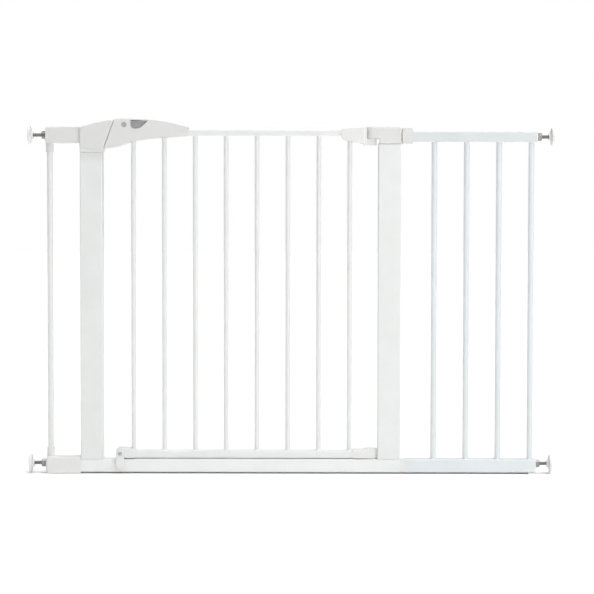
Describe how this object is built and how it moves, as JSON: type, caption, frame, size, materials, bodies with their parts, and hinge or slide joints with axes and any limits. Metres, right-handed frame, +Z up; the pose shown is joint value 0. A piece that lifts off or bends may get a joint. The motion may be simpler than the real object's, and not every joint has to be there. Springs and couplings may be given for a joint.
{
  "type": "safety baby gate",
  "caption": "Pressure-fit safety gate: steel frame and extensions clamped by threaded wall pads, swinging barred door with a sliding bolt, button and swing stop.",
  "frame": {"origin": "floor level, midway between the wall faces and midway through the depth", "axes": "+X from the lock side to the hinge side, +Z up; the door opens towards -Y"},
  "size_m": [1.111, 0.0408, 0.7505],
  "materials": {
    "powder_coat": "satin white powder coat",
    "powder_coat_cool": "satin cool white powder coat",
    "white_plastic": "fine moulded, satin",
    "grey_plastic": "fine moulded, satin",
    "zinc": "zinc plated",
    "spring_steel": "bright drawn wire",
    "soft_face": "matt soft rubber"
  },
  "bodies": {
    "frame": {"left_post": "powder_coat", "right_post": "powder_coat", "base_rail": "powder_coat", "lower_hinge_pin": "zinc", "hinge_washer": "white_plastic", "lock_housing_front": "white_plastic", "lock_housing_rear": "white_plastic", "lock_housing_screws": "zinc", "lock_keeper": "zinc", "upper_hinge_housing": "white_plastic", "upper_hinge_pin": "zinc", "left_top_bracket": "white_plastic", "left_bottom_bracket": "white_plastic", "left_bar": "powder_coat", "right_top_connector": "white_plastic", "right_bottom_connector": "white_plastic", "right_top_rail": "powder_coat_cool", "right_bottom_rail": "powder_coat_cool", "right_bars": "powder_coat_cool", "right_top_plug": "white_plastic", "right_bottom_plug": "white_plastic"},
    "door": {"door_top_rail": "powder_coat", "door_bottom_rail": "powder_coat", "door_bars": "powder_coat", "handle_front": "white_plastic", "handle_rear": "white_plastic", "handle_screws": "zinc", "upper_hinge_wing": "white_plastic", "lower_hinge_bracket": "white_plastic", "foot_sleeve": "white_plastic", "bolt_spring": "spring_steel", "button_spring": "spring_steel", "stop_screw": "zinc"},
    "bolt": {"lock_bolt": "zinc", "thumb_slide": "grey_plastic"},
    "button": {"release_button": "grey_plastic"},
    "swing_stop": {"stop_tab": "white_plastic"},
    "left_top_spindle": {"left_top_rod": "zinc", "left_top_pad": "white_plastic", "left_top_pad_face": "soft_face"},
    "left_top_adjuster": {"left_top_nut": "zinc"},
    "left_bottom_spindle": {"left_bottom_rod": "zinc", "left_bottom_pad": "white_plastic", "left_bottom_pad_face": "soft_face"},
    "left_bottom_adjuster": {"left_bottom_nut": "zinc"},
    "right_top_spindle": {"right_top_rod": "zinc", "right_top_pad": "white_plastic", "right_top_pad_face": "soft_face"},
    "right_top_adjuster": {"right_top_nut": "zinc"},
    "right_bottom_spindle": {"right_bottom_rod": "zinc", "right_bottom_pad": "white_plastic", "right_bottom_pad_face": "soft_face"},
    "right_bottom_adjuster": {"right_bottom_nut": "zinc"}
  },
  "joints": [
    {"name": "door_swing", "type": "hinge", "parent": "frame", "child": "door", "pos_m": [0.17355, 0, 0.031], "axis": [0, 0, 1], "range_deg": [0, 90]},
    {"name": "bolt_slide", "type": "slide", "parent": "door", "child": "bolt", "axis": [-1, 0, 0], "range_m": [0, 0.007], "deforming": ["bolt_spring"]},
    {"name": "button_press", "type": "slide", "parent": "door", "child": "button", "axis": [0, 1, 0], "range_m": [0, 0.003], "stiffness_N_per_m": 300, "deforming": ["button_spring"]},
    {"name": "stop_turn", "type": "hinge", "parent": "door", "child": "swing_stop", "pos_m": [-0.36165, -0.0143, 0.0425], "axis": [0, 1, 0], "range_deg": [0, 180]},
    {"name": "left_top_reach", "type": "slide", "parent": "frame", "child": "left_top_spindle", "axis": [-1, 0, 0], "range_m": [-0.01, 0.03]},
    {"name": "left_top_nut_turn", "type": "hinge", "parent": "frame", "child": "left_top_adjuster", "pos_m": [-0.51795, 0, 0.717], "axis": [1, 0, 0], "range_deg": [-2881, 8641]},
    {"name": "left_bottom_reach", "type": "slide", "parent": "frame", "child": "left_bottom_spindle", "axis": [-1, 0, 0], "range_m": [-0.01, 0.03]},
    {"name": "left_bottom_nut_turn", "type": "hinge", "parent": "frame", "child": "left_bottom_adjuster", "pos_m": [-0.52045, 0, 0.0215], "axis": [1, 0, 0], "range_deg": [-2881, 8641]},
    {"name": "right_top_reach", "type": "slide", "parent": "frame", "child": "right_top_spindle", "axis": [1, 0, 0], "range_m": [-0.01, 0.03]},
    {"name": "right_top_nut_turn", "type": "hinge", "parent": "frame", "child": "right_top_adjuster", "pos_m": [0.52105, 0, 0.71465], "axis": [-1, 0, 0], "range_deg": [-2881, 8641]},
    {"name": "right_bottom_reach", "type": "slide", "parent": "frame", "child": "right_bottom_spindle", "axis": [1, 0, 0], "range_m": [-0.01, 0.03]},
    {"name": "right_bottom_nut_turn", "type": "hinge", "parent": "frame", "child": "right_bottom_adjuster", "pos_m": [0.52105, 0, 0.0215], "axis": [-1, 0, 0], "range_deg": [-2881, 8641]}
  ],
  "couplings": [
    {"joint": "left_top_nut_turn", "follows": "left_top_reach", "rad_per_m": 5026.5},
    {"joint": "left_bottom_nut_turn", "follows": "left_bottom_reach", "rad_per_m": 5026.5},
    {"joint": "right_top_nut_turn", "follows": "right_top_reach", "rad_per_m": 5026.5},
    {"joint": "right_bottom_nut_turn", "follows": "right_bottom_reach", "rad_per_m": 5026.5}
  ]
}
